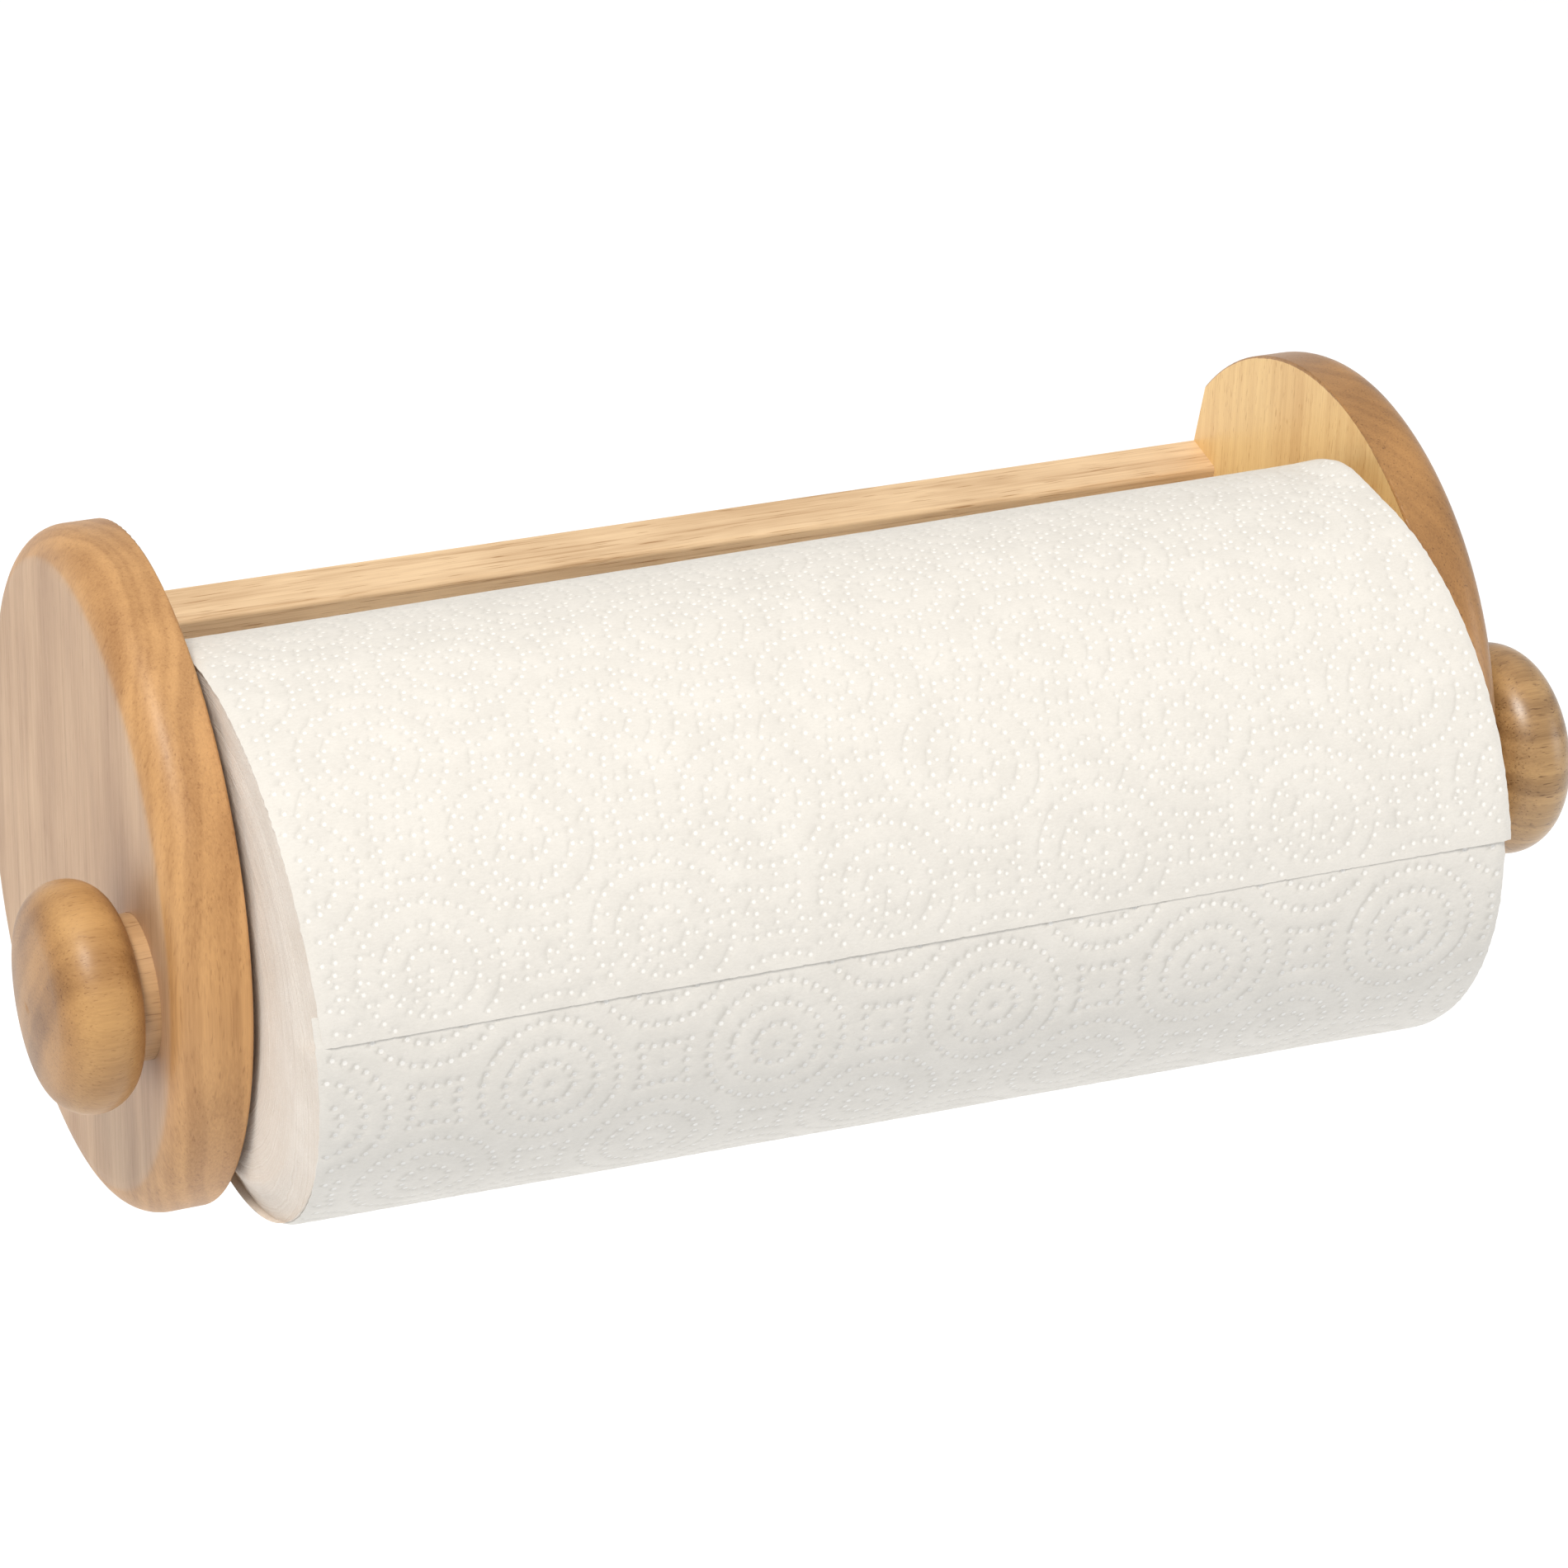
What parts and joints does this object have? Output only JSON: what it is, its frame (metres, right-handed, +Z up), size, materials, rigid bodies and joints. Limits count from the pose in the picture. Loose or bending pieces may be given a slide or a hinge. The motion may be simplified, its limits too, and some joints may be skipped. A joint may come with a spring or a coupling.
{
  "type": "paper towel holder",
  "caption": "Wall-mounted wooden paper towel holder: two rounded end plates on a back rail, a through rod with domed knobs, and an embossed towel roll.",
  "frame": {"origin": "on the wall plane, midway between the rail's two screw holes", "axes": "+X along the rod to the right as seen from the room, +Y into the wall, +Z up"},
  "size_m": [0.3718, 0.1772, 0.157],
  "materials": {
    "plate_wood": "clear satin lacquer on pale reddish hardwood",
    "rail_wood": "clear satin lacquer, long grain with dark streaks",
    "knob_wood": "clear satin lacquer on turned hardwood",
    "rod_wood": "sanded hardwood",
    "dowel_wood": "plain beech dowel",
    "cardboard": "matt grey-brown board",
    "paper": "soft white embossed tissue"
  },
  "bodies": {
    "frame": {"end_plate_left": "plate_wood", "end_plate_right": "plate_wood", "back_rail": "rail_wood", "dowel_left_upper": "dowel_wood", "dowel_left_lower": "dowel_wood", "dowel_right_upper": "dowel_wood", "dowel_right_lower": "dowel_wood"},
    "right_knob": {"knob_right": "knob_wood"},
    "rod": {"rod": "rod_wood", "knob_left": "knob_wood"},
    "roll": {"roll_core": "cardboard", "paper_roll": "paper", "paper_tail": "paper"}
  },
  "joints": [
    {"name": "rod_turn", "type": "hinge", "parent": "frame", "child": "right_knob", "pos_m": [0, -0.1092, 0.0087], "axis": [1, 0, 0], "continuous": true},
    {"name": "rod_withdraw", "type": "slide", "parent": "right_knob", "child": "rod", "axis": [-1, 0, 0], "range_m": [0, 0.32]},
    {"name": "roll_spin", "type": "hinge", "parent": "frame", "child": "roll", "pos_m": [0, -0.1092, 0.006], "axis": [1, 0, 0], "continuous": true}
  ]
}
